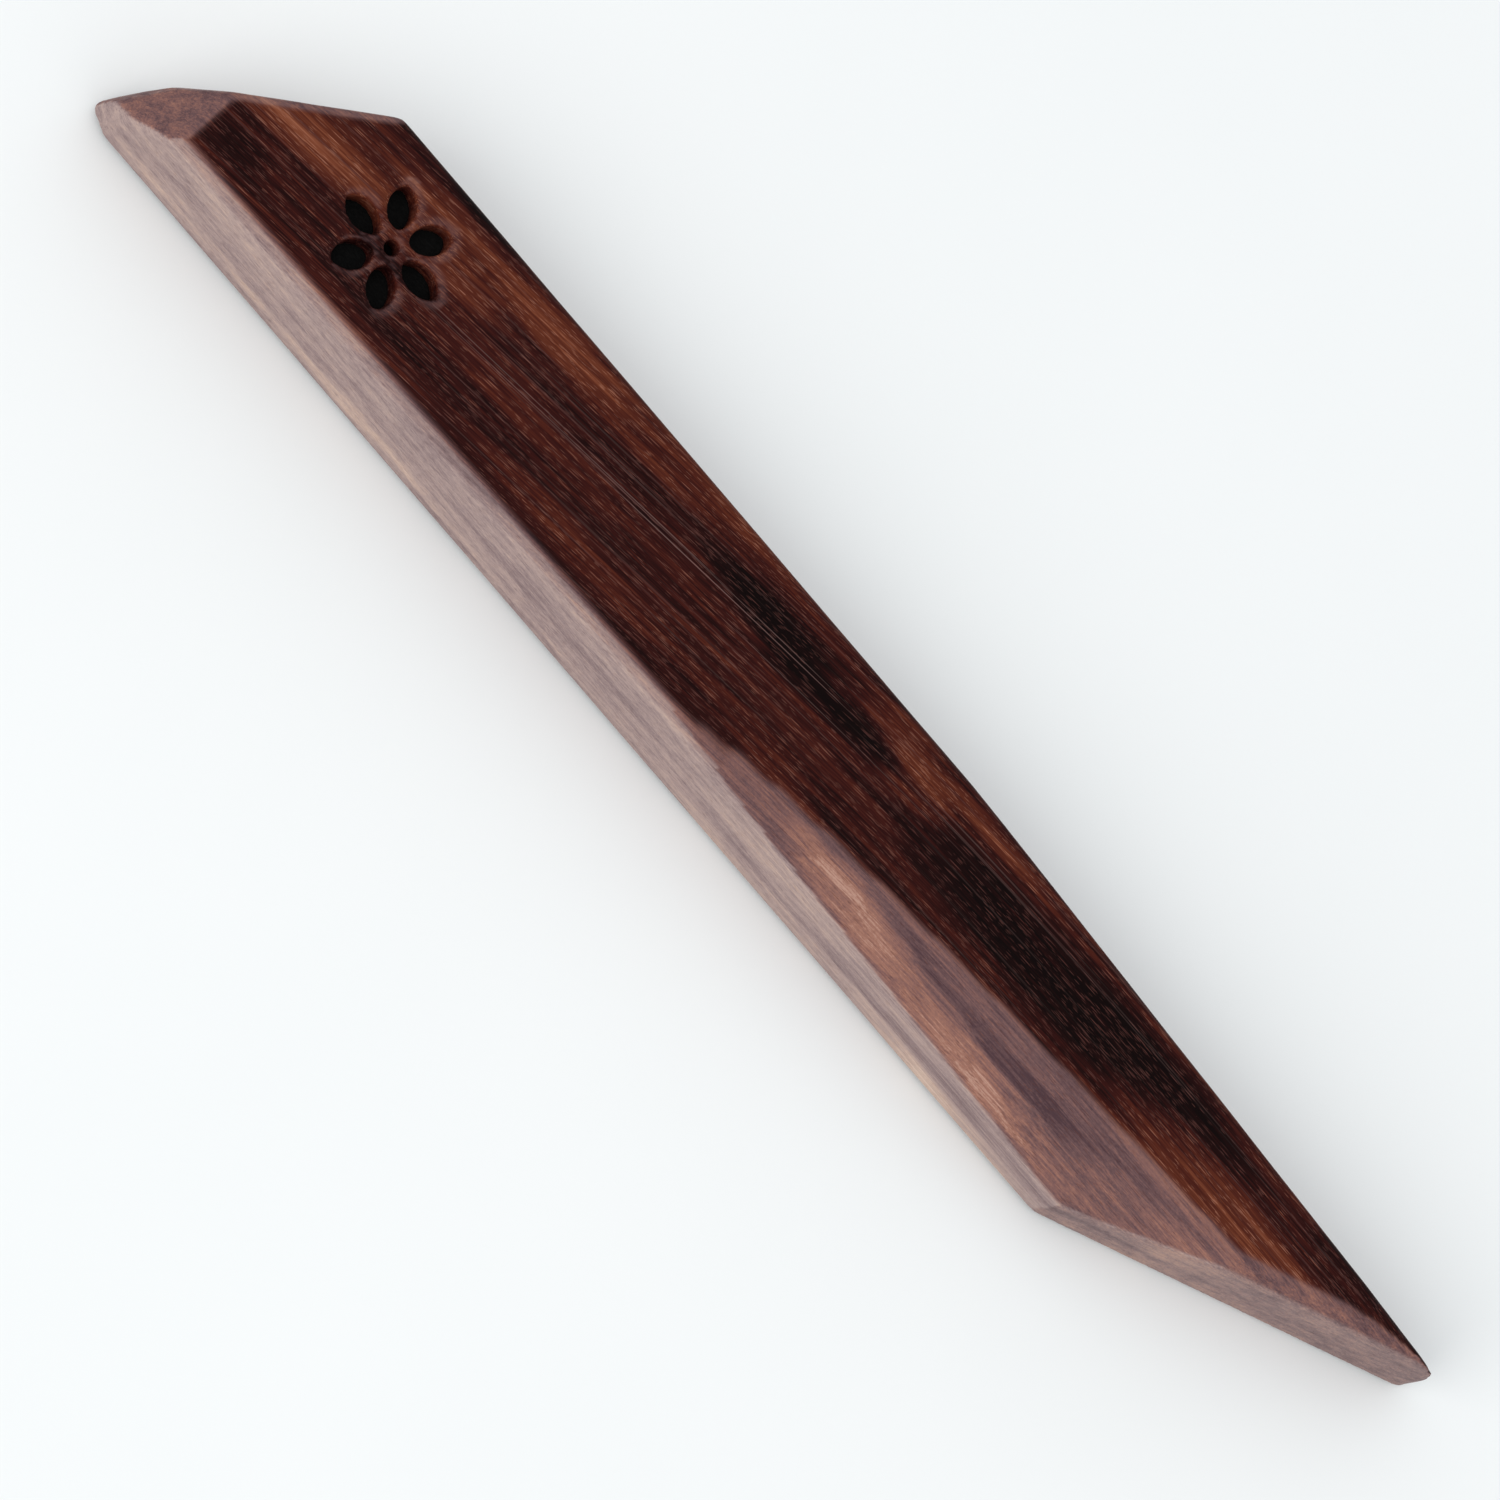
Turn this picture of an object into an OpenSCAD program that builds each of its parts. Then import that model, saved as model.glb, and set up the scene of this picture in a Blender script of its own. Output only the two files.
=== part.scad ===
// Hardwood doorpost scroll case: a flat bar with oblique ends, closed at the back.
// +X runs from the head end to the foot end, +Z is the front face's normal.

/* [Bar] */
// Overall length, tip to tip
case_len = 196; // [180:1:240]
// Overall width
case_w = 22; // [21:0.5:28]
// Thickness of the wooden bar
case_t = 12.5; // [12:0.5:16]
// Angle between the head cut and the long axis
head_angle = 43; // [40:1:50]
// Angle between the foot cut and the long axis
foot_angle = 24; // [22:1:30]
// How much the head face's top edge leans in
head_lean = 2.2; // [0:0.1:2.5]
// Angle between the head tip's steep flank and the long axis
nose_angle = 63; // [52:1:64]
// Angle between the head tip's near flank and the long axis
turn_angle = 23; // [16:1:28]
// How far the head tip stands in from the near edge
nose_in = 1.4; // [1.2:0.1:2.4]
// How far the steep flank reaches in from the near edge
flank_in = 7; // [5.6:0.1:7.4]
// Radius of the head tip's upright edge
head_tip_r = 0.6; // [0.5:0.1:1.2]
// Radius of the foot tip's upright edge
foot_tip_r = 1.6; // [0.8:0.1:2]
// Radius of the two blunt upright edges
blunt_r = 2.5; // [1:0.5:4]
// Width of the eased long edges
ease = 0.8; // [0.3:0.1:0.8]

/* [Facets] */
// Length of the facet that draws in the far edge towards the foot
draw_run = 98; // [70:1:110]
// How far that facet draws in the front face at the foot tip
draw_in = 4.4; // [1:0.2:5]
// Length of the long facet, measured back from the near corner
facet_run = 68; // [40:1:75]
// Width of the long facet on the front face, at the near corner
facet_w = 8; // [5:0.5:9]
// Depth of the long facet on the side, at the near corner
facet_drop = 6.4; // [4:0.2:6.6]
// Length of the head tip's facet
tip_facet = 7.8; // [6:0.2:10]
// Slope of the head tip's facet
tip_slope = 43; // [38:1:50]
// Slope at the very tip, where that facet rounds over
nose_slope = 64; // [56:1:70]
// Length over which the front face falls to the foot tip
fall_run = 14; // [10:1:26]
// Fall of the front face at the foot tip
fall_drop = 1.4; // [0.4:0.2:2]

/* [Ornament] */
// Distance from the head tip to the ornament's centre
ornament_x = 30.5; // [29:0.5:36]
// Number of petals
petals = 6; // [5:1:7]
// Outer radius of the petals
petal_out = 7; // [6:0.1:7.2]
// Inner radius of the petals
petal_in = 1.9; // [1.8:0.1:2.6]
// Width of a petal
petal_w = 3.2; // [2:0.1:3.3]
// Radius of the centre hole
eye_r = 0.9; // [0.5:0.1:1]

/* [Scroll] */
// Length of the rolled sheet
scroll_len = 120; // [100:1:122]
// Outer diameter of the roll
scroll_d = 7.6; // [6.5:0.1:7.8]
// Thickness of the sheet
sheet_t = 0.24; // [0.2:0.01:0.26]
// Step from one turn to the next
turn_step = 0.3; // [0.28:0.01:0.34]
// Number of half turns
half_turns = 13; // [9:1:15]

/* [Back] */
// Gap at each side of the roll
side_gap = 1.2; // [0.8:0.1:1.5]
// Gap between the roll and the backing disc
roll_gap = 0.1; // [0.05:0.05:0.4]
// Free length at each end of the roll
end_gap = 2; // [1:0.5:3]
// Thickness of the backing disc
disc_t = 0.4; // [0.3:0.1:0.6]
// Glue margin of the backing disc round the ornament
disc_margin = 0.6; // [0.5:0.1:0.8]
// Thickness of the cover plate
cover_t = 1.6; // [1.4:0.1:2]
// How far the cover plate reaches past the hollow on each side
cover_ledge = 0.6; // [0.5:0.1:1]
// Gap round the cover plate
cover_gap = 0.1; // [0.05:0.05:0.2]
// Thickness of the double-sided tape
tape_t = 0.5; // [0.4:0.1:1]
// Length of a tape strip
tape_len = 30; // [20:1:34]
// Width of a tape strip
tape_w = 12; // [8:1:14]

/* [Screws] */
// Length of a cover screw
screw_len = 8; // [6.5:0.5:9]
// Diameter over the threads
screw_d = 2; // [1.8:0.1:2.2]
// Diameter of the countersunk head
head_d = 3.8; // [3.4:0.1:4]
// Pitch of the thread ridges
thread_pitch = 0.8; // [0.7:0.1:1]

/* [Hidden] */
$fn = 96;
eps = 0.01;
lap = 1.004;
over = 1;
far = 400;
deep = 60;
rim = 1;
bend_r = 3;
near_r = 2 * blunt_r;
nose_part = 0.9;
blunt_run = 3.4;
blunt_slope = 46;
end_run = 1.2;
end_slope = 75;
facet_steps = 12;
facet_past = 1.5;
facet_lift = 0.03;
facet_lap = 2;
facet_above = 4;
step_power = 1.5;
width_power = 0.5;
slope_power = 0.75;
chamber_r = 3;
pocket_lap = 1;
disc_gap = 0.1;
cover_r = 2;
cover_margin = 4.5;
cover_past = 2.5;
screw_in = 3.3;
screw_gap = 0.05;
hole_past = 0.5;
thread_depth = 0.2;
ridge_half = 0.3;
point_len = 1.2;
plain_end = 1.6;
head_rim = 0.2;
slot_w = 0.5;
slot_t = 0.45;
tape_at = [0.2, 0.85];
z0 = tape_t;
z_top = z0 + case_t;
z_cover = z0 + cover_t;
z_ceiling = z_cover + scroll_d + roll_gap + disc_t;
front_wall = z_top - z_ceiling;
y_near = -case_w / 2;
y_far = case_w / 2;
nose_half = (nose_angle + turn_angle) / 2;
nose_axis = (nose_angle - turn_angle) / 2;
x_nose = -case_len / 2 + head_tip_r - head_tip_r * cos(nose_axis) / sin(nose_half);
x_flank = x_nose + (flank_in - nose_in) / tan(nose_angle);
x_head = x_flank - flank_in / tan(head_angle);
x_foot = case_len / 2 - foot_tip_r + foot_tip_r / tan(foot_angle / 2);
x_near = x_foot - case_w / tan(foot_angle);
x_far = x_head + case_w / tan(head_angle);
bar_pts = [
    [x_nose + nose_in / tan(turn_angle), y_near],
    [x_near, y_near],
    [x_foot, y_far],
    [x_far, y_far],
    [x_flank, y_near + flank_in],
    [x_nose, y_near + nose_in],
];
bar_radii = [bend_r, near_r, foot_tip_r, blunt_r, bend_r, head_tip_r];
orn_x = -case_len / 2 + ornament_x;
petal_len = petal_out - petal_in;
petal_arc = (petal_len * petal_len + petal_w * petal_w) / (4 * petal_w);
disc_r = petal_out + disc_margin;
pocket_r = disc_r + disc_gap;
chamber_len = scroll_len + 2 * end_gap;
chamber_w = scroll_d + 2 * side_gap;
x_chamber = orn_x - pocket_r + pocket_lap;
x_chamber_end = x_chamber + chamber_len;
cover_half = pocket_r + cover_ledge;
cover_inset = case_w / 2 - cover_half;
cover_skew = 2 * cover_half / tan(head_angle);
x_cover_a = x_head + cover_inset / tan(head_angle) + cover_margin / sin(head_angle);
x_cover_b = x_chamber_end + cover_past;
screw_off = screw_in / tan(head_angle / 2);
screw_xy = [
    [x_cover_a + screw_off, -cover_half + screw_in],
    [x_cover_b + cover_skew - screw_off, cover_half - screw_in],
];
screw_root = screw_d / 2 - thread_depth;
head_t = (head_d - screw_d) / 2 + head_rim;
turn_r = scroll_d / 2 - sheet_t - turn_step * (half_turns - 1) / 2;
scroll_z = z_cover + scroll_d / 2 - turn_step / 2 * (half_turns % 2);
scroll_x = x_chamber + end_gap;
tape_x = [for (share = tape_at) scroll_x + scroll_len * share];

wood = [0.24, 0.13, 0.10];
plate_wood = [0.33, 0.19, 0.13];
card = [0.03, 0.03, 0.03];
sheet = [0.90, 0.86, 0.76];
brass = [0.76, 0.61, 0.30];
foam = [0.88, 0.88, 0.85];

function unit(v) = v / norm(v);
function before(pts, i) = pts[(i + len(pts) - 1) % len(pts)];
function after(pts, i) = pts[(i + 1) % len(pts)];
function half_corner(pts, i) =
    acos(unit(before(pts, i) - pts[i]) * unit(after(pts, i) - pts[i])) / 2;
function cut_back(pts, radii, i) = radii[i] / tan(half_corner(pts, i));
function arc_centre(pts, radii, i) =
    pts[i] + unit(unit(before(pts, i) - pts[i]) + unit(after(pts, i) - pts[i]))
    * radii[i] / sin(half_corner(pts, i));

// Convex outline whose corners are true arcs. Each arc crosses its flanks by a hair, so they join cleanly.
module round_outline(pts, radii) {
    polygon([
        for (i = [0 : len(pts) - 1])
            for (towards = [before(pts, i), after(pts, i)])
                pts[i] + unit(towards - pts[i]) * cut_back(pts, radii, i)
    ]);
    for (i = [0 : len(pts) - 1]) {
        translate(arc_centre(pts, radii, i)) circle(radii[i] * lap);
    }
}

// Everything above a plane through a point, which faces az and tilts from upright by lean.
module above(at, az, lean) {
    translate(at) rotate([0, 0, az]) rotate([0, lean, 0]) {
        translate([-far / 2, -far / 2, 0]) cube([far, far, deep]);
    }
}

// Twisted long facet. It widens quickly on the front face and deepens more slowly on the side.
function facet_u(i) = facet_past * pow(i / facet_steps, step_power);
function facet_width(u) = facet_w * pow(u, width_power);
function facet_slope(u) = facet_drop / facet_w * pow(u, slope_power);
function facet_section(i) =
    let (
        u = facet_u(i),
        x = x_near + (u - 1) * facet_run,
        y = y_near + facet_width(u),
        z = z_top + (i == 0 ? facet_lift : 0),
        reach = facet_width(u) + facet_lap
    )
    [
        [x, y - reach, z - reach * facet_slope(u)],
        [x, y + facet_lap, z + facet_lap * facet_slope(u)],
        [x, y - reach, z + facet_above],
    ];
module long_facet_cut() {
    ring = [for (i = [0 : facet_steps]) each facet_section(i)];
    last = 3 * facet_steps;
    sides = [
        for (i = [0 : facet_steps - 1])
            for (k = [0 : 2])
                let (a = 3 * i + k, b = 3 * i + (k + 1) % 3)
                    each [[a, a + 3, b], [b, a + 3, b + 3]]
    ];
    polyhedron(ring, concat([[0, 1, 2]], sides, [[last + 2, last + 1, last]]));
}

// Facet on the head tip, which rounds over at the very tip.
module tip_facet_cuts() {
    above([-case_len / 2 + tip_facet, 0, z_top], 180, tip_slope);
    nose_z = z_top - tip_facet * nose_part * tan(tip_slope);
    above([-case_len / 2 + tip_facet * (1 - nose_part), 0, nose_z], 180, nose_slope);
}

// Facet that draws in the far edge: from its start on the front face to almost the full depth at the foot.
module far_facet_cut() {
    across = draw_in * cos(atan(draw_in / draw_run));
    above([x_foot - draw_run, y_far, z_top], atan2(draw_run, draw_in), atan2(case_t - rim, across));
}

// Slow fall of the front face towards the foot tip, and the tip's rounded end.
module foot_tip_cuts() {
    above([case_len / 2 - fall_run, 0, z_top], 0, atan2(fall_drop, fall_run));
    fallen = z_top - fall_drop * (1 - blunt_run / fall_run);
    above([case_len / 2 - blunt_run, y_far - foot_tip_r, fallen], foot_angle / 2, blunt_slope);
    rounded = fallen - (blunt_run - end_run) * tan(blunt_slope);
    above([case_len / 2 - end_run, y_far - foot_tip_r, rounded], foot_angle / 2, end_slope);
}

// Head face and the tip's steep flank: upright at their foot, then leaning in up to the front face.
module head_face_cuts() {
    lean = 90 - atan2(head_lean, case_t - rim);
    for (turn = [head_angle, nose_angle]) {
        above([x_flank, y_near + flank_in, z0 + rim], 90 + turn, lean);
    }
}

// Eased long edges of the front face.
module edge_ease_cuts() {
    above([0, y_near, z_top - ease], -90, 45);
    above([0, y_far, z_top - ease], 90, 45);
    above([x_near, y_near, z_top - fall_drop / 2 - ease], foot_angle - 90, 45);
}

// One petal: where two equal circles overlap.
module petal() {
    shift = petal_arc - petal_w / 2;
    translate([(petal_in + petal_out) / 2, 0]) intersection() {
        translate([0, shift]) circle(petal_arc);
        translate([0, -shift]) circle(petal_arc);
    }
}

// Ornament pierced through the front wall.
module ornament_cut() {
    translate([orn_x, 0, z_ceiling - over]) linear_extrude(front_wall + 2 * over) {
        for (i = [0 : petals - 1]) rotate(i * 360 / petals) petal();
        circle(eye_r);
    }
}

// Plan of the scroll chamber.
module chamber_plan() {
    round_outline([
        [x_chamber, -chamber_w / 2],
        [x_chamber_end, -chamber_w / 2],
        [x_chamber_end, chamber_w / 2],
        [x_chamber, chamber_w / 2],
    ], [chamber_r, chamber_r, chamber_r, chamber_r]);
}

// Plan of the cover plate, grown by a gap.
module cover_plan(grow) {
    y = cover_half + grow;
    slip = grow * tan(45 - head_angle / 2);
    far_slip = grow / tan(head_angle / 2);
    round_outline([
        [x_cover_a - far_slip, -y],
        [x_cover_b + slip, -y],
        [x_cover_b + cover_skew + far_slip, y],
        [x_cover_a + cover_skew - slip, y],
    ], [cover_r, cover_r, cover_r, cover_r]);
}

// Screw body: countersunk head, core and thread ridges, head at z = 0.
module screw_solid() {
    rotate_extrude() {
        polygon([
            [0, 0],
            [head_d / 2, 0],
            [head_d / 2, head_rim],
            [screw_d / 2, head_t],
            [screw_root, head_t],
            [screw_root, screw_len - point_len],
            [0, screw_len],
        ]);
        for (z = [head_t + thread_pitch : thread_pitch : screw_len - plain_end]) {
            translate([0, z]) polygon([
                [0, -ridge_half],
                [screw_root, -ridge_half],
                [screw_d / 2, 0],
                [screw_root, ridge_half],
                [0, ridge_half],
            ]);
        }
    }
}

module case_body() {
    color(wood) difference() {
        translate([0, 0, z0]) linear_extrude(case_t) round_outline(bar_pts, bar_radii);
        long_facet_cut();
        far_facet_cut();
        tip_facet_cuts();
        foot_tip_cuts();
        head_face_cuts();
        edge_ease_cuts();
        ornament_cut();
        translate([0, 0, z0 - over]) linear_extrude(cover_t + over) cover_plan(cover_gap);
        translate([0, 0, z0]) linear_extrude(z_ceiling - z0) chamber_plan();
        translate([orn_x, 0, z0]) cylinder(h = z_ceiling - z0, r = pocket_r);
        for (p = screw_xy) {
            translate([p[0], p[1], z0]) cylinder(h = screw_len + hole_past, r = screw_root);
        }
    }
}

module cover_plate() {
    color(plate_wood) difference() {
        translate([0, 0, z0]) linear_extrude(cover_t) cover_plan(0);
        for (p = screw_xy) translate([p[0], p[1], z0]) {
            translate([0, 0, -eps]) cylinder(h = head_rim + eps, r = head_d / 2);
            translate([0, 0, head_rim]) cylinder(h = head_t - head_rim, r1 = head_d / 2, r2 = screw_d / 2);
            cylinder(h = cover_t + over, r = screw_d / 2 + screw_gap);
        }
    }
}

module screws() {
    color(brass) for (p = screw_xy) {
        translate([p[0], p[1], z0]) difference() {
            screw_solid();
            translate([-head_d / 2, -slot_w / 2, -eps]) cube([head_d, slot_w, slot_t]);
        }
    }
}

module backing() {
    color(card) translate([orn_x, 0, z_ceiling - disc_t]) cylinder(h = disc_t, r = disc_r);
}

// Rolled sheet: half rings on two centres, each one step wider than the last.
module scroll_roll() {
    color(sheet) translate([scroll_x, 0, scroll_z]) rotate([90, 0, 90]) linear_extrude(scroll_len) {
        for (i = [0 : half_turns - 1]) {
            r = turn_r + i * turn_step / 2;
            side = i % 2;
            translate([side * turn_step / 2, 0]) difference() {
                circle(r + sheet_t);
                circle(r);
                translate([-scroll_d, side == 0 ? -2 * scroll_d : 0]) square([2 * scroll_d, 2 * scroll_d]);
            }
        }
    }
}

module tape() {
    color(foam) for (x = tape_x) {
        translate([x - tape_len / 2, -tape_w / 2, 0]) cube([tape_len, tape_w, tape_t]);
    }
}

case_body();  // case
cover_plate();  // cover
screws();  // cover_screws
backing();  // backing_disc
scroll_roll();  // scroll
tape();  // tape_pads
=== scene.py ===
"""Looks of a wooden doorpost scroll case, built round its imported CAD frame.

Lengths are millimetres in the row frame, and MM turns them into Blender's metres.
"""
import math

import bmesh
import bpy
from mathutils import Matrix, Vector, noise
from mathutils.bvhtree import BVHTree


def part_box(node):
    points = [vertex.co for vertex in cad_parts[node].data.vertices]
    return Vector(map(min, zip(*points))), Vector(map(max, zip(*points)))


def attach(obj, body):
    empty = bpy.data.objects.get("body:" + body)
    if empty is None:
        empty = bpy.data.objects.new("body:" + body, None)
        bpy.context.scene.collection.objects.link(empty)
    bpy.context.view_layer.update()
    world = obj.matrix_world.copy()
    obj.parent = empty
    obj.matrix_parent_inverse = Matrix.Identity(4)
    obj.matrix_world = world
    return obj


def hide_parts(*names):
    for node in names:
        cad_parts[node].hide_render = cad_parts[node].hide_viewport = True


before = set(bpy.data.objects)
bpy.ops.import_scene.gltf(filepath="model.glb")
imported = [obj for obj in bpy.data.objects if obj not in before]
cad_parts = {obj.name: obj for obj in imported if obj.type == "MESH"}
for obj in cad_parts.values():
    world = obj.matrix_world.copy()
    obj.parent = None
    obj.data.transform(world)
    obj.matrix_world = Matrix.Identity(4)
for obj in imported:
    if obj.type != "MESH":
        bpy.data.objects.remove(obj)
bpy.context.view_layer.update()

MM = 0.001
BODY = "case"

# Camera, with its angles in degrees
CAMERA_TARGET = (-3.05, -3.4, 6.5)
CAMERA_DISTANCE = 772.2
CAMERA_AZIMUTH = -21.26
CAMERA_ELEVATION = 62.86
CAMERA_ROLL = 68.39
CAMERA_LENS = 177.7
CAMERA_SENSOR = 36.0
CAMERA_NEAR = 10

# Light and floor
SKY_COLOUR = (0.955, 0.978, 1.0)
SKY_STRENGTH = 0.88
KEY_DIRECTION = (-0.45, -0.80, 0.62)
KEY_DISTANCE = 1800
KEY_SIZE = 1500
KEY_POWER = 16.0
KEY_COLOUR = (1.0, 0.985, 0.965)
FLOOR_SIZE = 6000
FLOOR_COLOUR = (0.855, 0.872, 0.868, 1.0)
FLOOR_CLOUD = (0.868, 0.882, 0.878, 1.0)

# Case surface: the net of small faces that it is laid on
WELD = 0.002
FLAT_ANGLE = math.radians(0.35)
NET = 0.4

# Case wear: smoothing passes by region, and the plane's ripple
SMOOTHING = 0.5
OUTER_PASSES = 9
BASE_PASSES = 4
INNER_PASSES = 2
BASE_RIM = 1.0
RIPPLE = 0.05
RIPPLE_SIZE = (9.0, 3.0, 3.0)

# Least share of z in the normal of a face that looks up or down, and the back's reach above the base
LEVEL = 0.9
BACK_REACH = 0.3

# Share of painted light and sheen in the wood's colour, by how each face meets the lamp: 0 on the oiled
# front, up to 1 on the upright sides, part way on the facets, the eased edge, the foot and the
# ornament's rim
SIDE_LIGHT = "side_light"
LIGHT_ON_FACET = 0.5
# The eased near edge takes nearly the side's paleness: a painted highlight along it
LIGHT_ON_EASE = 0.82
# The foot turns away from the lamp, so it takes less of the painted light than the side
LIGHT_ON_FOOT = 0.78
LIGHT_ON_RIM = 0.35

# Parts of a normal that tell the eased edge, the facets, the sides, the tip and the foot apart
EASE_LEAN = -0.69
EASE_TURN = 0.005
LEAN_RUN = (0.03, 0.17)
STEEP_RUN = (0.64, 0.36)
TIP_LEAN = -0.8
FOOT_LEAN = 0.2

# Softened edges of the CAD nodes that keep their own mesh
COVER_EDGE = 0.15
SCREW_EDGE = 0.04
DISC_EDGE = 0.05
EDGE_SEGMENTS = 3
SHARP_ANGLE = math.radians(35)
NORMAL_WEIGHT = 60

# Foam tape strips
STRIP_STEP = 0.75
STRIP_CORNER = 1.2
STRIP_BULGE = 0.09
STRIP_LAYERS = 6
STRIP_WAVE = 0.05
STRIP_WAVE_SIZE = 2.5
CORNER_STEPS = 6


def mm(*values):
    return Vector(values) * MM


# ---------------------------------------------------------------- materials

# A patch fades out between these shares of its half size
SPOT_EDGE = 1.25
SPOT_CORE = 0.15


class Look:
    """Builds one material's nodes. Where an input is named, a number or a socket may be given."""

    def __init__(self, name):
        self.material = bpy.data.materials.new(name)
        self.material.use_nodes = True
        self.tree = self.material.node_tree
        self.shader = next(n for n in self.tree.nodes if n.type == "BSDF_PRINCIPLED")

    def node(self, kind, inputs=(), **settings):
        made = self.tree.nodes.new(kind)
        for key, value in settings.items():
            setattr(made, key, value)
        for key, value in dict(inputs).items():
            self.feed(made.inputs[key], value)
        return made

    def feed(self, socket, value):
        if isinstance(value, bpy.types.NodeSocket):
            self.tree.links.new(value, socket)
        else:
            socket.default_value = value

    def set(self, **values):
        """Sets the shader's inputs, named with _ for a space."""
        for key, value in values.items():
            self.feed(self.shader.inputs[key.replace("_", " ")], value)

    def math(self, operation, a, b=0.0, c=0.0, clamp=False):
        made = self.node("ShaderNodeMath", {0: a, 1: b, 2: c}, operation=operation, use_clamp=clamp)
        return made.outputs[0]

    def total(self, values):
        result = values[0]
        for value in values[1:]:
            result = self.math("ADD", result, value)
        return result

    def weighted(self, *pairs):
        """The sum of some values, each times its weight."""
        return self.total([self.math("MULTIPLY", value, weight) for value, weight in pairs])

    def vector(self, operation, a, b=(0, 0, 0)):
        made = self.node("ShaderNodeVectorMath", {0: a, 1: b}, operation=operation)
        return made.outputs["Value" if operation == "LENGTH" else "Vector"]

    def parts(self, vector):
        made = self.node("ShaderNodeSeparateXYZ", {0: vector})
        return made.outputs[0], made.outputs[1], made.outputs[2]

    def joined(self, x, y, z):
        return self.node("ShaderNodeCombineXYZ", {0: x, 1: y, 2: z}).outputs[0]

    def here(self):
        """The point in the row frame, in millimetres."""
        place = self.node("ShaderNodeTexCoord").outputs["Object"]
        return self.vector("MULTIPLY", place, (1 / MM, 1 / MM, 1 / MM))

    def noise(self, place, per_mm, detail=3.0, rough=0.55, warp=0.0, output=0):
        """Noise with that many waves to the millimetre along x, y and z."""
        inputs = {
            "Vector": self.vector("MULTIPLY", place, per_mm),
            "Scale": 1.0,
            "Detail": detail,
            "Roughness": rough,
            "Distortion": warp,
        }
        return self.node("ShaderNodeTexNoise", inputs).outputs[output]

    def cells(self, place, per_mm):
        """Scattered cells, that many to the millimetre along x, y and z."""
        inputs = {"Vector": self.vector("MULTIPLY", place, per_mm), "Scale": 1.0}
        return self.node("ShaderNodeTexVoronoi", inputs)

    def streaks(self, place, along, across, **settings):
        """Noise drawn out along x, by the length and width of a streak."""
        return self.noise(place, (1 / along, 1 / across, 1 / across), **settings)

    def span(self, value, low, high, to_low=0.0, to_high=1.0, smooth=True):
        inputs = {"Value": value, "From Min": low, "From Max": high, "To Min": to_low, "To Max": to_high}
        kind = "SMOOTHSTEP" if smooth else "LINEAR"
        return self.node("ShaderNodeMapRange", inputs, interpolation_type=kind).outputs[0]

    def centred(self, value, amount):
        """A value from 0 to 1, spread over that amount round 0."""
        return self.math("MULTIPLY_ADD", value, amount, -0.5 * amount)

    def mix(self, share, a, b):
        made = self.node("ShaderNodeMix", data_type="RGBA")
        self.feed(made.inputs[0], share)
        self.feed(made.inputs[6], a)
        self.feed(made.inputs[7], b)
        return made.outputs[2]

    def ramp(self, value, *stops):
        made = self.node("ShaderNodeValToRGB", {0: value})
        band = made.color_ramp
        while len(band.elements) < len(stops):
            band.elements.new(0.5)
        for element, (place, colour) in zip(band.elements, stops):
            element.position = place
            element.color = (*colour, 1)
        return made.outputs[0]

    def spot(self, place, at, half, strength):
        """A soft oval patch of that strength, by its middle and half size along the first two axes."""
        away = self.vector("SUBTRACT", place, (*at, 0))
        flat = self.vector("MULTIPLY", away, (1 / half[0], 1 / half[1], 0))
        return self.span(self.vector("LENGTH", flat), SPOT_EDGE, SPOT_CORE, 0.0, strength)

    def bump(self, height, depth, strength):
        inputs = {"Height": height, "Distance": depth * MM, "Strength": strength}
        return self.node("ShaderNodeBump", inputs).outputs[0]


# Grain of the case, which rises slowly towards the foot and then runs level
GRAIN_RISE = 0.115
GRAIN_LEVEL_FROM = 20.0
GRAIN_LEVEL_OVER = 40.0

# Streaks: length along the grain and width across it
BROAD_STREAK = (60, 3.4)
MEDIUM_STREAK = (20, 0.8)
FINE_STREAK = (8, 0.17)
HAIR_STREAK = (75, 0.30)
CROWD_STREAK = (14, 4)

# Slow sway of the patches: its reach and the size of its waves
SWAY = (30, 5, 3)
SWAY_SIZE = (24, 5, 5)

# Patches of the case's own figure, light above 0 and dark below: middle, half size and strength.
# The front's and the facet's lie by x and y, and the side's by x and z.
FRONT_PATCHES = (
    ((-80, 1.6), (13, 3.8), 0.34),
    ((-65, 3.4), (10, 3.6), 0.22),
    ((-48, 7.6), (24, 3.0), 0.27),
    ((-19, 9.8), (17, 2.2), 0.20),
    ((8, 6.4), (7, 5.0), 0.24),
    ((19, 9.0), (12, 1.6), 0.22),
    ((68, 0.8), (20, 4.0), 0.30),
    ((-1, -6.4), (8, 2.6), 0.18),
    ((-34, -6.6), (20, 2.4), 0.10),
    ((8, -1.2), (14, 1.8), 0.12),
    ((-64, 10.4), (10, 1.5), -0.26),
    ((-87, -5.5), (6, 3.2), -0.12),
    ((-8, 4.6), (17, 2.6), -0.38),
    ((37, 2.8), (31, 5.2), -0.30),
    ((50, 6.4), (18, 2.4), -0.26),
    ((88, 8.0), (14, 2.4), -0.12),
)
FACET_PATCHES = (
    ((12, -8.6), (11, 2.4), 0.24),
    ((42, -10.0), (15, 1.5), 0.30),
    ((38, -6.6), (17, 1.1), -0.26),
    ((66, -4.5), (10, 2.0), 0.10),
)
SIDE_PATCHES = (
    ((-62, 3.2), (38, 1.1), 0.22),
    ((36, 5.0), (40, 1.6), -0.24),
    ((-20, 6.8), (50, 0.7), -0.05),
)
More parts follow.
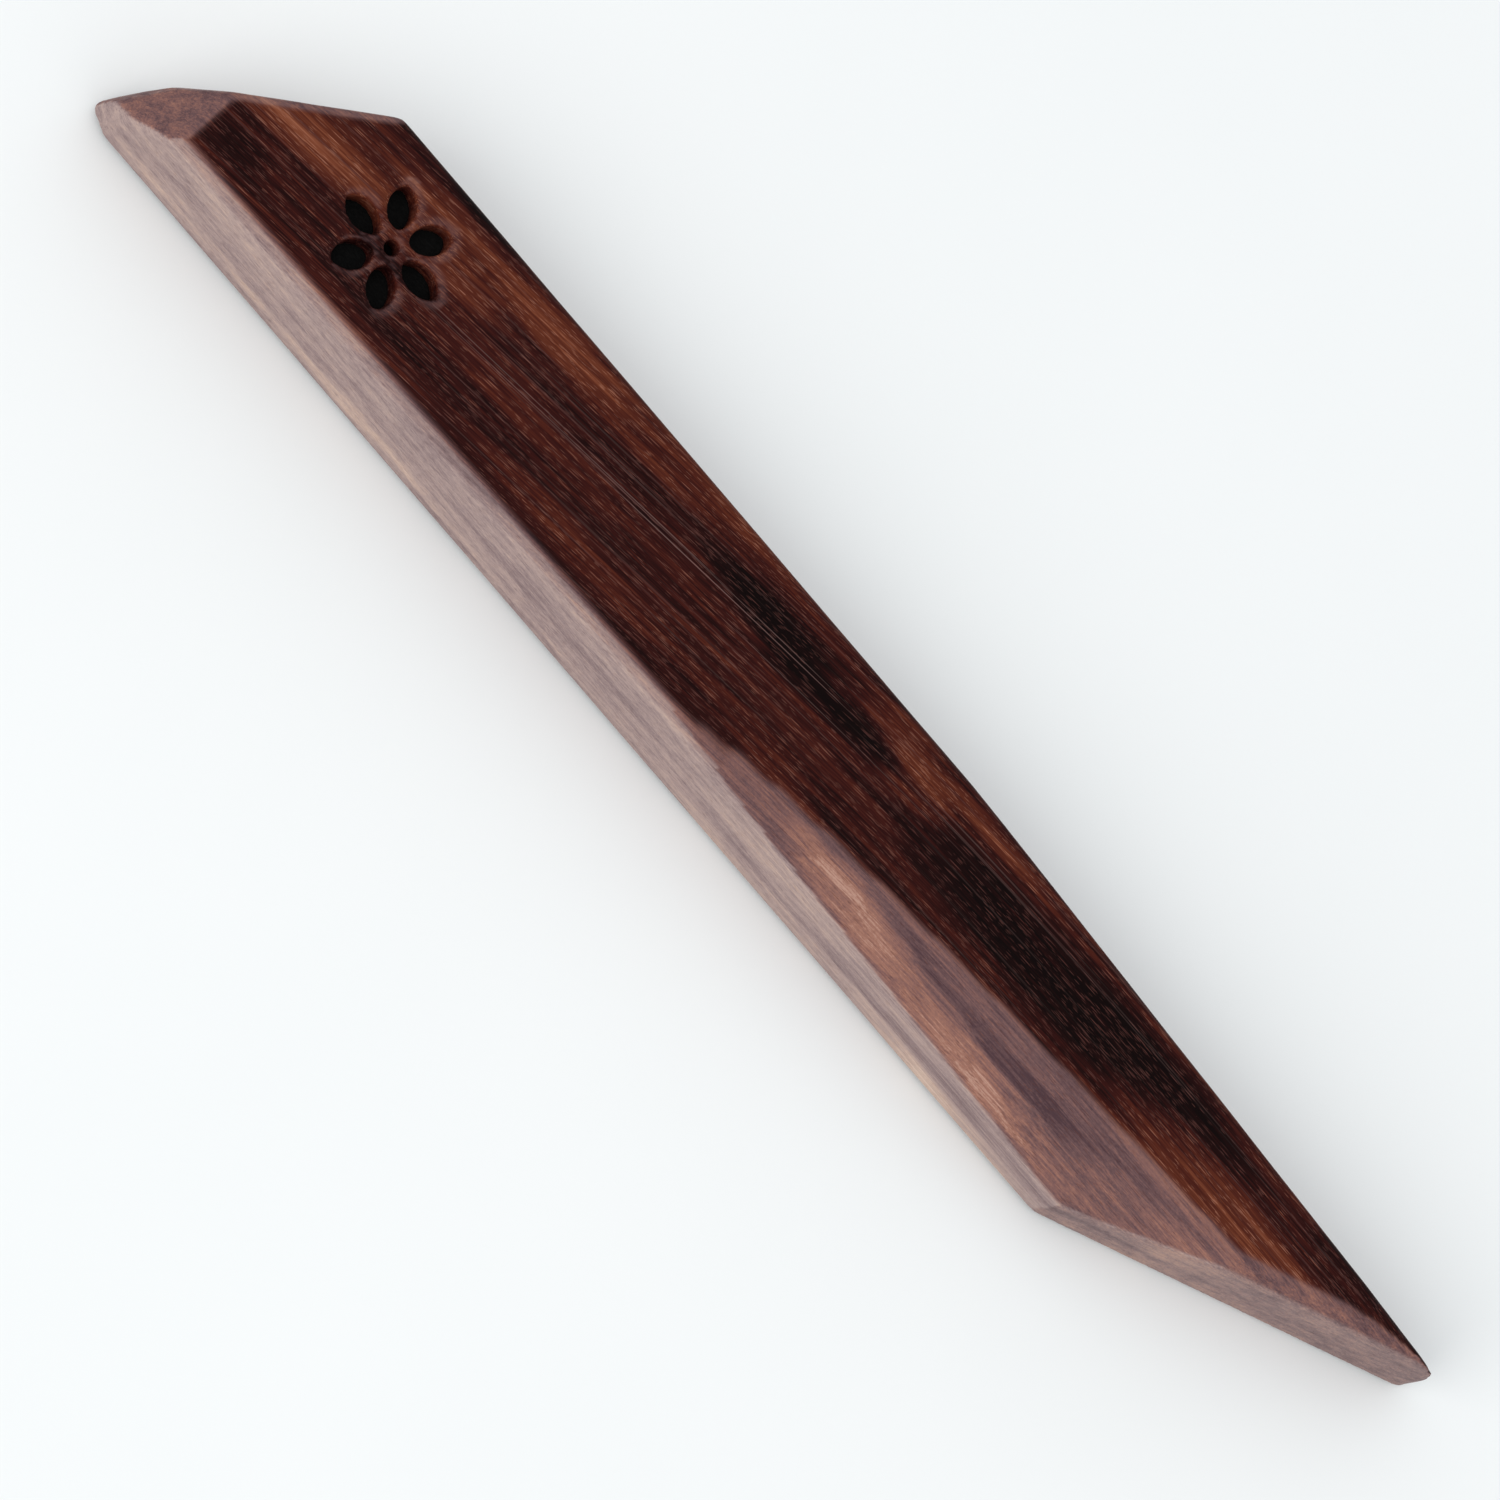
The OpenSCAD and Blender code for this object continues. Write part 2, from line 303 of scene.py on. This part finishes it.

# Wood colours by tone, from dark to light, and the middle tones of the oiled front and of the
# painted-light faces. The facet's and the side's colours are paler copies of the wood that paint in
# light and sheen.
OILED_TONE = 0.37
OILED_COLOURS = (
    (0.05, (0.0035, 0.0010, 0.0010)),
    (0.24, (0.0110, 0.0022, 0.0021)),
    (0.40, (0.0330, 0.0056, 0.0045)),
    (0.54, (0.0660, 0.0128, 0.0072)),
    (0.68, (0.1020, 0.0235, 0.0112)),
    (0.84, (0.1880, 0.0540, 0.0260)),
    (1.00, (0.3100, 0.1150, 0.0620)),
)
LIT_TONE = 0.46
# Painted light: the facet's colours, a paler lit copy of the wood
FACET_LIT_COLOURS = (
    (0.15, (0.064, 0.034, 0.040)),
    (0.38, (0.128, 0.070, 0.071)),
    (0.55, (0.208, 0.102, 0.088)),
    (0.72, (0.300, 0.143, 0.104)),
    (0.90, (0.430, 0.250, 0.195)),
)
# Painted light and sheen: the side's colours, the palest lit copy of the wood
SIDE_LIT_COLOURS = (
    (0.15, (0.175, 0.120, 0.122)),
    (0.38, (0.280, 0.203, 0.195)),
    (0.55, (0.370, 0.272, 0.247)),
    (0.72, (0.455, 0.325, 0.270)),
    (0.90, (0.570, 0.430, 0.350)),
)
PLATE_COLOURS = (
    (0.30, (0.075, 0.030, 0.018)),
    (0.50, (0.190, 0.085, 0.048)),
    (0.70, (0.330, 0.165, 0.090)),
)

# Pores: the edge of a dash, how faint one may be, how they crowd, and how they show
PORE_EDGE = (0.36, 0.18)
PORE_FAINT = 0.35
CROWD_RUN = (0.32, 0.66)
CROWD_RARE = 0.3
PORE_SEEN = 0.80
PORE_FADE = 0.55
PORE_DARK = (0.105, 0.038, 0.031, 1)
PORE_PALE = (0.36, 0.145, 0.090, 1)
PLATE_PORE = (0.035, 0.014, 0.010, 1)

# Hairlines of the oiled wood, in a band of the grain and fewer elsewhere
HAIR_BAND = (-26, 4.6)
HAIR_HALF = (52, 2.8)
HAIR_CROWD = 0.42
HAIR_ELSEWHERE = 0.10
HAIR_COLOUR = (0.240, 0.140, 0.125, 1)

# Colours of the small pieces
BRASS_BRIGHT = (0.80, 0.58, 0.25, 1)
BRASS_DULL = (0.42, 0.27, 0.11, 1)
# The backing card's near-black also stands in for the shade deep in the ornament's openings: painted
# shade
CARD_SHADE_BLACK = (0.0025, 0.0025, 0.0025, 1)
CARD_FIBRE = (0.012, 0.0115, 0.011, 1)
SKIN_PALE = (0.80, 0.72, 0.54, 1)
SKIN_WARM = (0.66, 0.55, 0.36, 1)
SKIN_FIBRE = (0.50, 0.38, 0.22, 1)
TAPE_WHITE = (0.84, 0.84, 0.80, 1)
TAPE_DUST = (0.62, 0.60, 0.54, 1)
TAPE_CELL = (0.46, 0.45, 0.41, 1)


def grain_place(look):
    """The point with the grain's rise taken out, so that fibres run along x."""
    x, y, z = look.parts(look.here())
    along = look.math("SMOOTH_MIN", x, GRAIN_LEVEL_FROM, GRAIN_LEVEL_OVER)
    return look.joined(x, look.math("MULTIPLY_ADD", along, -GRAIN_RISE, y), z)


def swayed(look, place):
    """The point moved a little by slow noise, so that no patch has an even edge."""
    slow = look.noise(place, [1 / size for size in SWAY_SIZE], detail=4.0, rough=0.6, output="Color")
    drift = look.vector("SUBTRACT", slow, (0.5, 0.5, 0.5))
    return look.vector("ADD", place, look.vector("MULTIPLY", drift, SWAY))


def patches(look, place, rows):
    return [look.spot(place, at, half, strength) for at, half, strength in rows]


def facet_side_figure(look, place):
    """The light and dark figure of the facet and the side."""
    x, _, z = look.parts(place)
    side = look.joined(x, z, 0.0)
    return look.total(patches(look, place, FACET_PATCHES) + patches(look, side, SIDE_PATCHES))


def case_tones(look, shades):
    """The tone of the oiled front and of the faces painted paler with light and sheen, from streaks and
    patches.
    """
    spots_at = swayed(look, look.here())
    figure = look.total(patches(look, spots_at, FRONT_PATCHES))
    speckle = look.noise(look.here(), (2.2, 4.0, 4.0), detail=2.0, rough=0.8)
    oiled = look.total([OILED_TONE, figure] + shades)
    side_light = [LIT_TONE, facet_side_figure(look, spots_at), look.centred(speckle, 0.34)]
    return oiled, look.total(side_light + shades)


def wood_colour(look, oiled_tone, lit_tone, share):
    """The wood's colour: oiled, then the facet's colour, then the side's, as the share of painted light
    and sheen rises; the facet's and the side's colours are paler lit copies of the oiled wood.
    """
    on_facet = look.span(share, 0.0, LIGHT_ON_FACET, smooth=False)
    on_side = look.span(share, LIGHT_ON_FACET, 1.0, smooth=False)
    oiled = look.ramp(oiled_tone, *OILED_COLOURS)
    facet = look.mix(on_facet, oiled, look.ramp(lit_tone, *FACET_LIT_COLOURS))
    return look.mix(on_side, facet, look.ramp(lit_tone, *SIDE_LIT_COLOURS))


def pores(look, place, length, width, share, seed):
    """Short dashes along the grain, 0 between them, dense in some places and rare in others."""
    moved = look.vector("ADD", place, (seed, seed, seed))
    cell = look.cells(moved, (1 / length, 1 / width, 1 / width))
    near = look.span(cell.outputs["Distance"], *PORE_EDGE)
    pick, shade, _ = look.parts(cell.outputs["Color"])
    slow = look.streaks(moved, *CROWD_STREAK, detail=2.0)
    crowd = look.span(slow, *CROWD_RUN, to_low=share * CROWD_RARE, to_high=share)
    kept = look.math("LESS_THAN", pick, crowd)
    bright = look.math("MULTIPLY_ADD", shade, 1 - PORE_FAINT, PORE_FAINT)
    return look.math("MULTIPLY", look.math("MULTIPLY", near, bright), kept)


def case_pores(look, place):
    long_pores = pores(look, place, length=3.2, width=0.17, share=0.80, seed=3.1)
    short_pores = pores(look, place, length=1.5, width=0.12, share=0.85, seed=41.7)
    return look.math("MAXIMUM", long_pores, short_pores)


def with_pores(look, colour, pore, tone, share):
    """Pores, paler than the oiled wood round them, and fainter where the painted light and sheen are."""
    pore_colour = look.mix(look.span(tone, 0.25, 0.75), PORE_DARK, PORE_PALE)
    seen = look.math("MULTIPLY", pore, look.math("MULTIPLY_ADD", share, -PORE_FADE, PORE_SEEN))
    return look.mix(seen, colour, pore_colour)


def hairlines(look, place, share):
    """Long thin pale lines on the oiled wood, crowded along one band of the grain."""
    hair = look.streaks(place, *HAIR_STREAK, detail=2.0, rough=0.5)
    band = look.spot(place, HAIR_BAND, HAIR_HALF, HAIR_CROWD)
    oiled = look.math("SUBTRACT", 1.0, share, clamp=True)
    seen = look.math("MULTIPLY", oiled, look.math("ADD", band, HAIR_ELSEWHERE))
    return look.math("MULTIPLY", look.span(hair, 0.60, 0.68), seen)


def case_wood():
    """Dark oiled hardwood, painted paler by each point's share of light and sheen."""
    look = Look("dark_hardwood")
    place = grain_place(look)
    broad = look.streaks(place, *BROAD_STREAK, detail=2.0)
    medium = look.streaks(place, *MEDIUM_STREAK, rough=0.6, warp=0.15)
    fine = look.streaks(place, *FINE_STREAK, rough=0.68)
    shades = [look.centred(broad, 0.50), look.centred(medium, 0.66), look.centred(fine, 0.70)]
    share = look.node("ShaderNodeAttribute", attribute_name=SIDE_LIGHT).outputs["Fac"]
    tone, lit_tone = case_tones(look, shades)
    pore = case_pores(look, place)
    colour = with_pores(look, wood_colour(look, tone, lit_tone, share), pore, tone, share)
    look.set(Base_Color=look.mix(hairlines(look, place, share), colour, HAIR_COLOUR))
    dryness = look.math("MULTIPLY_ADD", pore, 0.4, fine)
    look.set(Roughness=look.span(dryness, 0.3, 0.9, to_low=0.42, to_high=0.60))
    relief = look.weighted((fine, 0.5), (pore, -0.8), (medium, 0.3))
    look.set(Normal=look.bump(relief, depth=0.05, strength=0.7))
    look.set(IOR=1.48, Specular_IOR_Level=0.045)
    return look.material


def plate_wood():
    look = Look("plate_wood")
    place = look.here()
    broad = look.streaks(place, along=55, across=3.2)
    fine = look.streaks(place, along=6, across=0.25, detail=4.0, rough=0.68)
    wood = look.ramp(look.weighted((broad, 0.6), (fine, 0.4)), *PLATE_COLOURS)
    pore = pores(look, place, length=1.8, width=0.3, share=0.5, seed=17.3)
    look.set(Base_Color=look.mix(look.math("MULTIPLY", pore, 0.6), wood, PLATE_PORE))
    look.set(Roughness=look.span(fine, 0.3, 0.8, to_low=0.48, to_high=0.66))
    relief = look.math("SUBTRACT", look.math("MULTIPLY", fine, 0.5), pore)
    look.set(Normal=look.bump(relief, depth=0.05, strength=0.8))
    return look.material


def brass():
    look = Look("brass")
    place = look.here()
    spots = look.noise(place, (0.9, 0.9, 0.9), detail=5.0, rough=0.65)
    lines = look.noise(place, (0.6, 9.0, 0.6))
    look.set(Base_Color=look.mix(look.span(spots, 0.42, 0.66), BRASS_BRIGHT, BRASS_DULL))
    look.set(Roughness=look.span(look.math("ADD", spots, lines), 0.7, 1.3, to_low=0.24, to_high=0.46))
    look.set(Metallic=1.0, Normal=look.bump(lines, depth=0.01, strength=0.5))
    return look.material


# A black card behind the ornament's openings, so near black that it also paints in their deep shade
def black_card():
    look = Look("black_card")
    fibres = look.noise(look.here(), (2.2, 6.5, 2.2), detail=5.0, rough=0.7, warp=1.2)
    look.set(Base_Color=look.mix(look.span(fibres, 0.35, 0.75), CARD_SHADE_BLACK, CARD_FIBRE))
    look.set(Roughness=look.span(fibres, 0.3, 0.8, to_low=0.78, to_high=0.92))
    look.set(Normal=look.bump(fibres, depth=0.03, strength=0.6))
    look.set(Specular_IOR_Level=0.1)
    return look.material


def parchment():
    look = Look("parchment")
    place = look.here()
    cloud = look.noise(place, (0.10, 0.10, 0.10), detail=5.0, rough=0.6)
    fibres = look.noise(place, (1.2, 5.0, 5.0), detail=4.0, rough=0.7, warp=0.8)
    ground = look.mix(look.span(cloud, 0.35, 0.7), SKIN_PALE, SKIN_WARM)
    look.set(Base_Color=look.mix(look.span(fibres, 0.4, 0.8, to_high=0.35), ground, SKIN_FIBRE))
    look.set(Roughness=look.span(fibres, 0.3, 0.8, to_low=0.62, to_high=0.82))
    look.set(Normal=look.bump(fibres, depth=0.03, strength=0.7))
    look.set(Sheen_Weight=0.1)
    return look.material


def foam_tape():
    look = Look("foam_tape")
    place = look.here()
    cell = look.cells(place, (7.0, 7.0, 7.0)).outputs["Distance"]
    dust = look.noise(place, (0.7, 0.7, 0.7), detail=5.0, rough=0.7)
    ground = look.mix(look.span(dust, 0.45, 0.75), TAPE_WHITE, TAPE_DUST)
    look.set(Base_Color=look.mix(look.span(cell, 0.30, 0.05, to_high=0.35), ground, TAPE_CELL))
    look.set(Roughness=look.span(dust, 0.3, 0.7, to_low=0.42, to_high=0.62))
    look.set(Normal=look.bump(cell, depth=0.05, strength=0.7))
    return look.material


def floor_paint():
    look = Look("floor_paint")
    cloud = look.noise(look.here(), (0.012, 0.012, 0.012))
    look.set(Base_Color=look.mix(look.span(cloud, 0.3, 0.7), FLOOR_COLOUR, FLOOR_CLOUD))
    look.set(Roughness=0.55)
    return look.material


# --------------------------------------------------------------------- case


def finish_piece(name, mesh, material, slot, *nodes):
    """Shows a mesh as a piece of the fixed body, in place of those CAD nodes."""
    piece = bpy.data.objects.new(name, mesh)
    bpy.context.scene.collection.objects.link(piece)
    mesh.materials.clear()
    mesh.materials.append(material)
    for face in mesh.polygons:
        face.use_smooth = True
    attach(piece, BODY)
    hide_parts(*nodes)


def clean_copy(node):
    """A welded copy of a CAD node's mesh, with its flat areas as single faces."""
    work = bmesh.new()
    work.from_mesh(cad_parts[node].data)
    bmesh.ops.remove_doubles(work, verts=work.verts, dist=WELD * MM)
    bmesh.ops.dissolve_limit(work, angle_limit=FLAT_ANGLE, verts=work.verts, edges=work.edges)
    return work


def is_front(face):
    return face.normal.z > LEVEL


def is_back(face, floor_z):
    return face.normal.z < -LEVEL and face.calc_center_median().z < floor_z + BACK_REACH * MM


def inner_faces(work, floor_z):
    """The hollow's faces and the ornament's walls.

    They are all that is reached from the hollow's ceiling without crossing the front or the back.
    """
    found = {f for f in work.faces if f.normal.z < -LEVEL and not is_back(f, floor_z)}
    waiting = list(found)
    while waiting:
        face = waiting.pop()
        for other in (f for e in face.edges for f in e.link_faces):
            if other not in found and not is_front(other) and not is_back(other, floor_z):
                found.add(other)
                waiting.append(other)
    return found


def even_net(work):
    """The same closed surface on an even net of small faces."""
    mesh = bpy.data.meshes.new("net")
    work.to_mesh(mesh)
    carrier = bpy.data.objects.new("net", mesh)
    bpy.context.scene.collection.objects.link(carrier)
    remesh = carrier.modifiers.new("net", "REMESH")
    remesh.mode = "VOXEL"
    remesh.voxel_size = NET * MM
    solid = carrier.evaluated_get(bpy.context.evaluated_depsgraph_get())
    net = bmesh.new()
    net.from_mesh(solid.to_mesh())
    solid.to_mesh_clear()
    bpy.data.objects.remove(carrier)
    bpy.data.meshes.remove(mesh)
    return net


def wear(net, near, inner, floor_z):
    """Rounds the edges as handling and sanding do, most on the outside and least in the hollow."""
    rim_z = floor_z + BASE_RIM * MM
    passes = []
    for vert, face in near:
        outside = BASE_PASSES if vert.co.z < rim_z else OUTER_PASSES
        passes.append((vert, INNER_PASSES if face in inner else outside))
    axes = {"use_axis_x": True, "use_axis_y": True, "use_axis_z": True}
    for turn in range(OUTER_PASSES):
        verts = [vert for vert, count in passes if count > turn]
        bmesh.ops.smooth_vert(net, verts=verts, factor=SMOOTHING, **axes)


def ripple(net, near, inner):
    """Slow, shallow unevenness left by the plane, always inwards."""
    net.normal_update()
    for vert, face in near:
        if face not in inner:
            at = [c / (MM * size) for c, size in zip(vert.co, RIPPLE_SIZE)]
            vert.co -= vert.normal * (0.5 + 0.5 * noise.noise(Vector(at))) * RIPPLE * MM


def ornament():
    """The middle of the ornament on the front face and its reach, both from the disc that backs it."""
    low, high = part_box("backing_disc")
    front_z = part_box("case")[1].z
    middle = Vector(((low.x + high.x) / 2, (low.y + high.y) / 2, front_z))
    return middle, (high.y - low.y) / 2


def eased(value, low, high):
    """0 at low, 1 at high, with a smooth run between; low may be the larger."""
    share = min(1.0, max(0.0, (value - low) / (high - low)))
    return share * share * (3 - 2 * share)


def side_light_share(vert, face, middle, reach):
    """How much painted light and sheen the outside takes at a point, by the way that it faces."""
    out = vert.normal
    on_ease = face.normal.y < EASE_LEAN and abs(face.normal.x) < EASE_TURN
    full = LIGHT_ON_EASE if on_ease else LIGHT_ON_FACET
    facet = full * eased(max(-out.x, -out.y), *LEAN_RUN)
    if is_front(face) and (vert.co - middle).length < reach:
        return facet * LIGHT_ON_RIM
    if face.normal.x < TIP_LEAN:
        return facet
    side = LIGHT_ON_FOOT if face.normal.x > FOOT_LEAN else 1.0
    return facet + eased(abs(out.z), *STEEP_RUN) * (side - facet)


def mark_side_light(net, near, inner, floor_z):
    """Writes each point's share of painted light and sheen for the material, with 0 inside and on the
    back.
    """
    side_light = net.verts.layers.float[SIDE_LIGHT]
    net.normal_update()
    middle, reach = ornament()
    for vert, face in near:
        unseen = face in inner or is_back(face, floor_z)
        vert[side_light] = 0.0 if unseen else side_light_share(vert, face, middle, reach)


def make_case():
    """The case's CAD surface on an even net, worn, marked with its share of painted light and sheen, and
    rippled.
    """
    work = clean_copy("case")
    floor_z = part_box("case")[0].z
    inner = inner_faces(work, floor_z)
    tree = BVHTree.FromBMesh(work)
    work.faces.ensure_lookup_table()
    net = even_net(work)
    net.verts.layers.float.new(SIDE_LIGHT)
    near = [(vert, work.faces[tree.find_nearest(vert.co)[2]]) for vert in net.verts]
    wear(net, near, inner, floor_z)
    mark_side_light(net, near, inner, floor_z)
    ripple(net, near, inner)
    mesh = bpy.data.meshes.new("case_wood")
    net.to_mesh(mesh)
    net.free()
    work.free()
    finish_piece("case_wood", mesh, case_wood(), "dark_hardwood", "case")


# ------------------------------------------------------------- other pieces


def rounded(piece, width):
    bevel = piece.modifiers.new("rounding", "BEVEL")
    bevel.width = width * MM
    bevel.segments = EDGE_SEGMENTS
    bevel.limit_method = "ANGLE"
    bevel.angle_limit = SHARP_ANGLE
    bevel.miter_outer = "MITER_ARC"
    normals = piece.modifiers.new("normals", "WEIGHTED_NORMAL")
    normals.weight = NORMAL_WEIGHT


def dress_node(node, material, edge=0):
    """Gives a CAD node its finish, and softened edges if a width is given."""
    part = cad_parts[node]
    part.data.materials.clear()
    part.data.materials.append(material)
    weld = part.modifiers.new("weld", "WELD")
    weld.merge_threshold = WELD * MM
    if edge:
        rounded(part, edge)


def rounded_rectangle(half_x, half_y, radius, step):
    """Points round a rectangle with round corners, about a step apart on the straight sides."""
    points = []
    for turn, (sx, sy) in enumerate(((1, 1), (-1, 1), (-1, -1), (1, -1))):
        middle = Vector((sx * (half_x - radius), sy * (half_y - radius)))
        for k in range(CORNER_STEPS + 1):
            angle = math.radians(90 * turn + 90 / CORNER_STEPS * k)
            points.append((middle.x + radius * math.cos(angle), middle.y + radius * math.sin(angle)))
        run = 2 * (half_x if turn % 2 == 0 else half_y) - 2 * radius
        steps = max(2, round(run / step))
        angle = math.radians(90 * (turn + 1))
        start = Vector(points[-1])
        along = Vector((-math.sin(angle), math.cos(angle)))
        for k in range(1, steps):
            points.append(tuple(start + along * run * k / steps))
    return points


def strip_rings(work, low, high):
    """Rings of points up a strip's side, drawn in at its two faces and by a slow wave."""
    centre = (low + high) / 2
    half = (high - low) / 2
    outline = rounded_rectangle(half.x, half.y, STRIP_CORNER * MM, STRIP_STEP * MM)
    rings = []
    for layer in range(STRIP_LAYERS + 1):
        share = layer / STRIP_LAYERS
        z = low.z + share * 2 * half.z
        inset = STRIP_BULGE * MM * (2 * share - 1) ** 2
        ring = []
        for x, y in outline:
            wave = noise.noise(Vector((x, y, low.x)) / (STRIP_WAVE_SIZE * MM)) * STRIP_WAVE * MM
            shrink = 1 - (inset + abs(wave)) / half.y
            ring.append(work.verts.new((centre.x + x * shrink, centre.y + y * shrink, z)))
        rings.append(ring)
    return rings


def add_strip(work, low, high):
    """A closed slab with round corners in plan, and sides that bulge between the two faces."""
    rings = strip_rings(work, low, high)
    count = len(rings[0])
    for lower, upper in zip(rings, rings[1:]):
        for i in range(count):
            j = (i + 1) % count
            work.faces.new((lower[i], lower[j], upper[j], upper[i]))
    work.faces.new(list(reversed(rings[0])))
    work.faces.new(rings[-1])


def make_tape():
    """Each strip of foam tape: a thin slab with soft, slightly uneven edges."""
    low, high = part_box("tape_pads")
    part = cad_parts["tape_pads"].data
    ends = sorted({round(v.co.x / MM, 2) for v in part.vertices})
    work = bmesh.new()
    for first, last in zip(ends[0::2], ends[1::2]):
        add_strip(work, mm(first, low.y / MM, low.z / MM), mm(last, high.y / MM, high.z / MM))
    mesh = bpy.data.meshes.new("tape_strips")
    work.to_mesh(mesh)
    work.free()
    finish_piece("tape_strips", mesh, foam_tape(), "foam_tape", "tape_pads")


# ------------------------------------------------- floor, light and camera


def make_floor():
    """A plain square floor at z = 0, under the lowest point of the object."""
    half = FLOOR_SIZE / 2 * MM
    corners = [(-half, -half, 0), (half, -half, 0), (half, half, 0), (-half, half, 0)]
    mesh = bpy.data.meshes.new("floor")
    mesh.from_pydata(corners, [], [(0, 1, 2, 3)])
    mesh.materials.append(floor_paint())
    floor = bpy.data.objects.new("floor", mesh)
    bpy.context.scene.collection.objects.link(floor)


def make_light():
    """A pale even sky and one large soft lamp."""
    world = bpy.data.worlds.new("studio")
    bpy.context.scene.world = world
    world.use_nodes = True
    sky = world.node_tree.nodes["Background"]
    sky.inputs[0].default_value = (*SKY_COLOUR, 1)
    sky.inputs[1].default_value = SKY_STRENGTH
    lamp = bpy.data.lights.new("key", "AREA")
    lamp.shape = "DISK"
    lamp.size = KEY_SIZE * MM
    lamp.energy = KEY_POWER
    lamp.color = KEY_COLOUR
    key = bpy.data.objects.new("key", lamp)
    toward = Vector(KEY_DIRECTION).normalized()
    key.location = toward * KEY_DISTANCE * MM
    key.rotation_euler = toward.to_track_quat("Z", "Y").to_euler()
    bpy.context.scene.collection.objects.link(key)


def make_camera():
    """The photograph's camera: an azimuth and elevation round its target, then a roll."""
    data = bpy.data.cameras.new("camera")
    data.lens = CAMERA_LENS
    data.sensor_width = CAMERA_SENSOR
    data.clip_start = CAMERA_NEAR * MM
    camera = bpy.data.objects.new("camera", data)
    turn = math.radians(CAMERA_AZIMUTH)
    rise = math.radians(CAMERA_ELEVATION)
    back = Vector((math.sin(turn) * math.cos(rise), -math.cos(turn) * math.cos(rise), math.sin(rise)))
    aim = (-back).to_track_quat("-Z", "Y").to_matrix().to_4x4()
    place = Matrix.Translation(mm(*CAMERA_TARGET) + back * CAMERA_DISTANCE * MM)
    camera.matrix_world = place @ aim @ Matrix.Rotation(math.radians(CAMERA_ROLL), 4, "Z")
    bpy.context.scene.collection.objects.link(camera)
    bpy.context.scene.camera = camera


# -------------------------------------------------------------------- scene

make_camera()
make_light()
make_floor()
make_case()
dress_node("cover", plate_wood(), COVER_EDGE)
dress_node("cover_screws", brass(), SCREW_EDGE)
dress_node("backing_disc", black_card(), DISC_EDGE)
dress_node("scroll", parchment())
make_tape()
bpy.context.scene.view_settings.view_transform = "Standard"
